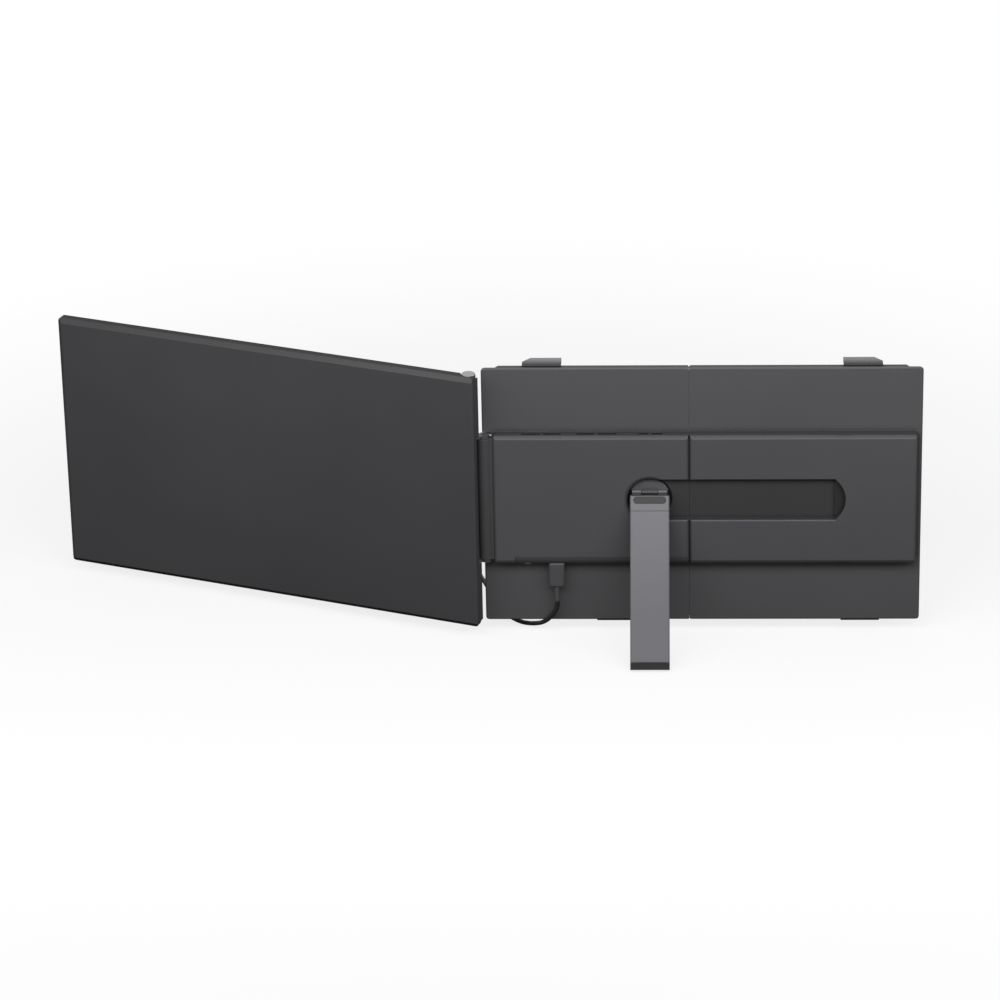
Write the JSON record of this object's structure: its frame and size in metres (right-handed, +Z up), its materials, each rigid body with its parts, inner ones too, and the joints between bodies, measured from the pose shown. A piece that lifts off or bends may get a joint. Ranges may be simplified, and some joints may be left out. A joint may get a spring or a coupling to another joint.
{
  "type": "laptop screen extender",
  "caption": "Clip-on second display: a sliding bracket with spring claws hangs on a laptop lid, a screen swings on a double hinge, and a kickstand swivels and tilts.",
  "frame": {"origin": "on the face of the pads that meet the laptop's lid, at the kickstand's swivel axis and the plate's mid height", "axes": "+Z up, +Y from the bracket towards the laptop's lid, +X along the bracket away from the display"},
  "size_m": [0.6493, 0.2331, 0.2195],
  "materials": {
    "housing_dark": "fine matt texture",
    "bezel_black": "matt black",
    "screen_glass": "glossy dark screen film",
    "lcd_black": "black sheet",
    "sheet_white": "white diffuser sheet",
    "board_green": "circuit board with solder mask",
    "plate_grey": "fine matt texture",
    "band_grey": "fine matt texture",
    "cap_metal": "satin",
    "hinge_steel": "machined",
    "port_metal": "plated",
    "guide_black": "slippery moulded plastic",
    "rubber_black": "soft matt rubber",
    "button_metal": "satin",
    "disc_grey": "satin paint",
    "pin_metal": "ground",
    "leg_silver": "bead blasted and anodised",
    "insert_dark": "matt inlay",
    "rail_metal": "extruded",
    "claw_silver": "bead blasted and anodised",
    "spring_steel": "wound wire",
    "plug_grey": "fine matt moulding",
    "cord_black": "smooth jacket",
    "tie_black": "soft band"
  },
  "bodies": {
    "left_half": {"left_rear_shell": "plate_grey", "left_front_cover": "plate_grey", "left_band_cover": "band_grey", "hinge_knuckle": "band_grey", "knuckle_screws": "hinge_steel", "hinge_pin_bracket": "hinge_steel", "hub_board": "board_green", "board_screws": "hinge_steel", "usb_port": "port_metal", "power_switch": "bezel_black", "left_rail_guides": "guide_black", "left_lid_pads": "rubber_black", "left_shell_screws": "hinge_steel", "claw_spring_left": "spring_steel", "hook_left": "claw_silver", "hook_pad_left": "rubber_black", "hub_plug_shell": "port_metal", "hub_plug_grip": "plug_grey", "lead_cord": "cord_black", "lead_coil": "cord_black", "lead_tie": "tie_black", "far_plug_shell": "port_metal", "far_plug_grip": "plug_grey"},
    "right_half": {"right_rear_shell": "plate_grey", "right_front_cover": "plate_grey", "right_band_cover": "band_grey", "slide_rails": "rail_metal", "rail_screws": "hinge_steel", "right_lid_pads": "rubber_black", "right_shell_screws": "hinge_steel", "claw_spring_right": "spring_steel", "hook_right": "claw_silver", "hook_pad_right": "rubber_black"},
    "links": {"hinge_links": "hinge_steel"},
    "display": {"display_back_cover": "housing_dark", "display_bezel": "bezel_black", "screen_glass": "screen_glass", "lcd_panel": "lcd_black", "backlight": "sheet_white", "driver_board": "board_green", "display_spine": "housing_dark", "barrel_caps": "cap_metal", "hinge_pin_display": "hinge_steel"},
    "swivel": {"swivel_disc": "disc_grey", "swivel_washer": "hinge_steel", "swivel_screw": "hinge_steel", "stand_pin": "pin_metal"},
    "leg": {"leg_knuckle": "leg_silver", "leg_blade": "leg_silver", "leg_insert": "insert_dark", "foot_pad": "rubber_black"},
    "left_claw": {"claw_left": "claw_silver", "claw_pad_left": "rubber_black"},
    "right_claw": {"claw_right": "claw_silver", "claw_pad_right": "rubber_black"},
    "button": {"power_button": "button_metal"}
  },
  "joints": [
    {"name": "link_turn", "type": "hinge", "parent": "left_half", "child": "links", "pos_m": [-0.1223, -0.009, 0], "axis": [0, 0, 1], "range_deg": [-80, 32]},
    {"name": "display_turn", "type": "hinge", "parent": "links", "child": "display", "pos_m": [-0.13249, -0.01192, 0], "axis": [0, 0, 1], "range_deg": [-80, 32]},
    {"name": "right_half_slide", "type": "slide", "parent": "left_half", "child": "right_half", "axis": [1, 0, 0], "range_m": [0, 0.05]},
    {"name": "stand_turn", "type": "hinge", "parent": "left_half", "child": "swivel", "pos_m": [0, 0, 0], "axis": [0, -1, 0], "range_deg": [0, 90]},
    {"name": "leg_tilt", "type": "hinge", "parent": "swivel", "child": "leg", "pos_m": [0, -0.0121, 0.0052], "axis": [-1, 0, 0], "range_deg": [-12.2, 38.8]},
    {"name": "left_claw_slide", "type": "slide", "parent": "left_half", "child": "left_claw", "axis": [0, 0, 1], "range_m": [0, 0.04], "stiffness_N_per_m": 120, "springref_m": -0.01, "deforming": ["claw_spring_left"]},
    {"name": "right_claw_slide", "type": "slide", "parent": "right_half", "child": "right_claw", "axis": [0, 0, 1], "range_m": [0, 0.04], "stiffness_N_per_m": 120, "springref_m": -0.01, "deforming": ["claw_spring_right"]},
    {"name": "button_press", "type": "slide", "parent": "left_half", "child": "button", "axis": [0, 0, 1], "range_m": [0, 0.0005], "stiffness_N_per_m": 1200, "springref_m": -0.0003}
  ],
  "couplings": [
    {"joint": "link_turn", "follows": "display_turn", "ratio": 1}
  ]
}
